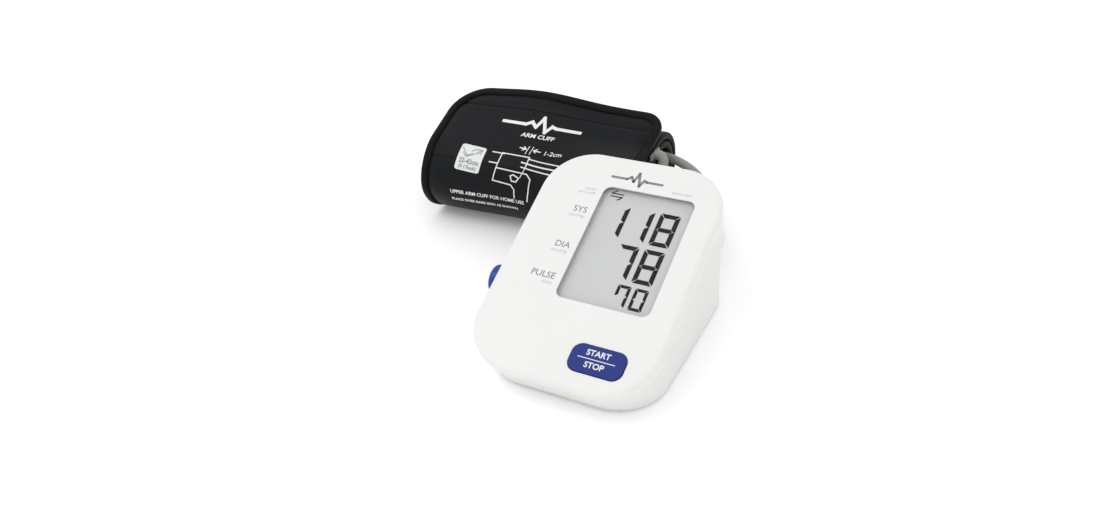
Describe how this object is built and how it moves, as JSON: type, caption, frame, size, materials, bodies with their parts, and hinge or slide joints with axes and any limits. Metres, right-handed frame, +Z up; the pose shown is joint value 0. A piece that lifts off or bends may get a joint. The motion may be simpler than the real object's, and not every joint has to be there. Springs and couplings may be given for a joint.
{
  "type": "upper arm blood pressure monitor",
  "caption": "Desk blood pressure monitor with sloping display face, start button and air hose to a rolled upper arm cuff lying behind it.",
  "frame": {"origin": "on the table, under the middle of the monitor and cuff taken together", "axes": "+X to the right across the monitor's face, +Y from the user to the back, +Z up"},
  "size_m": [0.2118, 0.2076, 0.0741],
  "materials": {
    "case_white": "satin",
    "window_clear": "gloss",
    "display_grey": "satin",
    "inner_white": "matt",
    "inner_black": "matt",
    "button_blue": "gloss",
    "plug_blue": "gloss",
    "board_green": "satin",
    "steel": "satin",
    "chrome": "bright",
    "cell": "gloss",
    "soft_rubber": "matt",
    "foot_rubber": "matt",
    "hose_grey": "satin",
    "inner_tube": "satin",
    "bladder": "matt",
    "cuff_cloth": "woven",
    "cuff_lining": "brushed loop",
    "cuff_tape": "woven tape",
    "hook_tape": "hook tape"
  },
  "bodies": {
    "base": {"front_cover": "case_white", "lower_case": "case_white", "display_window": "window_clear", "display_glass": "display_grey", "display_frame": "inner_white", "contact_strips": "soft_rubber", "switch_body": "inner_black", "main_board": "board_green", "board_chips": "inner_black", "pressure_sensor": "inner_white", "board_screws": "steel", "battery_1": "cell", "battery_2": "cell", "battery_3": "cell", "battery_4": "cell", "contact_plates": "chrome", "contact_springs": "chrome", "power_inlet": "inner_black", "motor_can": "steel", "pump_head": "inner_white", "pump_cradle": "soft_rubber", "valve_body": "inner_black", "leak_valve": "soft_rubber", "air_socket": "inner_white", "air_hub": "inner_white", "socket_tube": "inner_tube", "sensor_tube": "inner_tube", "case_screws": "steel", "rubber_feet": "foot_rubber", "roll_outer_cloth": "cuff_cloth", "roll_inner_cloth": "cuff_lining", "air_bladder": "bladder", "cuff_curler": "inner_black", "loop_patch": "cuff_lining", "roll_binding": "cuff_tape", "cuff_elbow": "hose_grey", "hose_tube": "hose_grey"},
    "button": {"start_button": "button_blue", "switch_plunger": "inner_black"},
    "hatch": {"battery_cover": "case_white"},
    "rotor": {"motor_rotor": "steel"},
    "plunger": {"valve_plunger": "steel"},
    "plug": {"air_plug": "plug_blue", "plug_seal": "soft_rubber", "plug_relief": "plug_blue", "hose_plug_end": "hose_grey"},
    "flap": {"flap_outer_cloth": "cuff_cloth", "flap_inner_cloth": "cuff_lining", "flap_binding": "cuff_tape", "hook_patch": "hook_tape"}
  },
  "joints": [
    {"name": "button_press", "type": "slide", "parent": "base", "child": "button", "axis": [0, 0.388, -0.9217], "range_m": [0, 0.0008], "stiffness_N_per_m": 1500},
    {"name": "hatch_slide", "type": "slide", "parent": "base", "child": "hatch", "axis": [0, -1, 0], "range_m": [0, 0.058]},
    {"name": "rotor_spin", "type": "hinge", "parent": "base", "child": "rotor", "pos_m": [0.0185, 0.006, 0.018], "axis": [1, 0, 0], "continuous": true},
    {"name": "plunger_stroke", "type": "slide", "parent": "base", "child": "plunger", "axis": [-1, 0, 0], "range_m": [0, 0.0012], "stiffness_N_per_m": 800},
    {"name": "plug_pull", "type": "slide", "parent": "base", "child": "plug", "axis": [-1, 0, 0], "range_m": [0, 0.014]},
    {"name": "flap_open", "type": "hinge", "parent": "base", "child": "flap", "pos_m": [-0.033, 0.04897, 0.05322], "axis": [1, 0, 0], "range_deg": [0, 75]}
  ]
}
